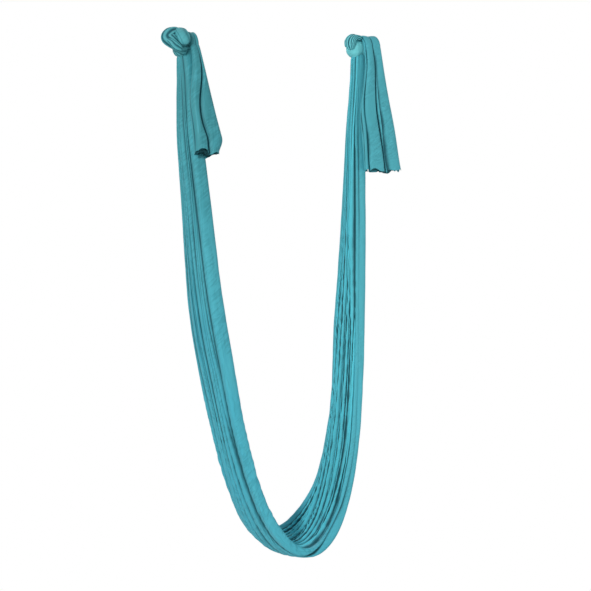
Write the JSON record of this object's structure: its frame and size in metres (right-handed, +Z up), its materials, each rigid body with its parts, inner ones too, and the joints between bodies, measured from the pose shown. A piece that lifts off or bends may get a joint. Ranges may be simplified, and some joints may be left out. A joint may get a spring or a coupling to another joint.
{
  "type": "aerial yoga hammock",
  "caption": "Hanging yoga hammock of gathered cloth: a long pleated sling between two knots, with a loose tail of cloth at each knot.",
  "frame": {"origin": "midway between the centres of the two knots, on the line that the hammock hangs from", "axes": "+X from the left knot to the right knot, +Y to the back, -Y the front where the tails hang, +Z up"},
  "size_m": [0.8514, 0.2994, 1.7427],
  "materials": {
    "band_cloth": "teal nylon tricot, satin",
    "left_knot_cloth": "teal nylon tricot, satin, tightly drawn",
    "right_knot_cloth": "teal nylon tricot, satin, tightly drawn",
    "tail_cloth": "teal nylon tricot, satin, loose"
  },
  "bodies": {
    "knots": {"left_knot_roll": "left_knot_cloth", "left_knot_core": "left_knot_cloth", "left_knot_turn": "left_knot_cloth", "left_knot_bight": "left_knot_cloth", "left_knot_tuck": "left_knot_cloth", "right_knot_roll": "right_knot_cloth", "right_knot_core": "right_knot_cloth", "right_knot_turn_1": "right_knot_cloth", "right_knot_turn_2": "right_knot_cloth"},
    "sling": {"middle_fold_1_left_strand": "band_cloth", "middle_fold_1_seat": "band_cloth", "middle_fold_1_right_strand": "band_cloth", "middle_fold_2_left_strand": "band_cloth", "middle_fold_2_seat": "band_cloth", "middle_fold_2_right_strand": "band_cloth", "middle_fold_3_left_strand": "band_cloth", "middle_fold_3_seat": "band_cloth", "middle_fold_3_right_strand": "band_cloth", "middle_fold_4_left_strand": "band_cloth", "middle_fold_4_seat": "band_cloth", "middle_fold_4_right_strand": "band_cloth"},
    "front_folds": {"front_fold_1_left_strand": "band_cloth", "front_fold_1_seat": "band_cloth", "front_fold_1_right_strand": "band_cloth", "front_fold_2_left_strand": "band_cloth", "front_fold_2_seat": "band_cloth", "front_fold_2_right_strand": "band_cloth", "front_fold_3_left_strand": "band_cloth", "front_fold_3_seat": "band_cloth", "front_fold_3_right_strand": "band_cloth", "front_fold_4_left_strand": "band_cloth", "front_fold_4_seat": "band_cloth", "front_fold_4_right_strand": "band_cloth"},
    "back_folds": {"back_fold_1_left_strand": "band_cloth", "back_fold_1_seat": "band_cloth", "back_fold_1_right_strand": "band_cloth", "back_fold_2_left_strand": "band_cloth", "back_fold_2_seat": "band_cloth", "back_fold_2_right_strand": "band_cloth", "back_fold_3_left_strand": "band_cloth", "back_fold_3_seat": "band_cloth", "back_fold_3_right_strand": "band_cloth", "back_fold_4_left_strand": "band_cloth", "back_fold_4_seat": "band_cloth", "back_fold_4_right_strand": "band_cloth"},
    "left_tail": {"left_tail_fold_1": "tail_cloth", "left_tail_fold_2": "tail_cloth", "left_tail_fold_3": "tail_cloth"},
    "right_tail": {"right_tail_fold_1": "tail_cloth", "right_tail_fold_2": "tail_cloth", "right_tail_fold_3": "tail_cloth"}
  },
  "joints": [
    {"name": "sling_swing", "type": "hinge", "parent": "knots", "child": "sling", "pos_m": [0, 0, 0], "axis": [1, 0, 0], "range_deg": [-40, 40]},
    {"name": "front_fold_open", "type": "hinge", "parent": "sling", "child": "front_folds", "pos_m": [0, 0, 0], "axis": [1, 0, 0], "range_deg": [-25, 0]},
    {"name": "back_fold_open", "type": "hinge", "parent": "sling", "child": "back_folds", "pos_m": [0, 0, 0], "axis": [1, 0, 0], "range_deg": [0, 25]},
    {"name": "left_tail_swing", "type": "hinge", "parent": "front_folds", "child": "left_tail", "pos_m": [-0.32, 0, 0], "axis": [1, 0, 0], "range_deg": [-50, 0]},
    {"name": "right_tail_swing", "type": "hinge", "parent": "front_folds", "child": "right_tail", "pos_m": [0.32, 0, 0], "axis": [1, 0, 0], "range_deg": [-50, 0]}
  ]
}
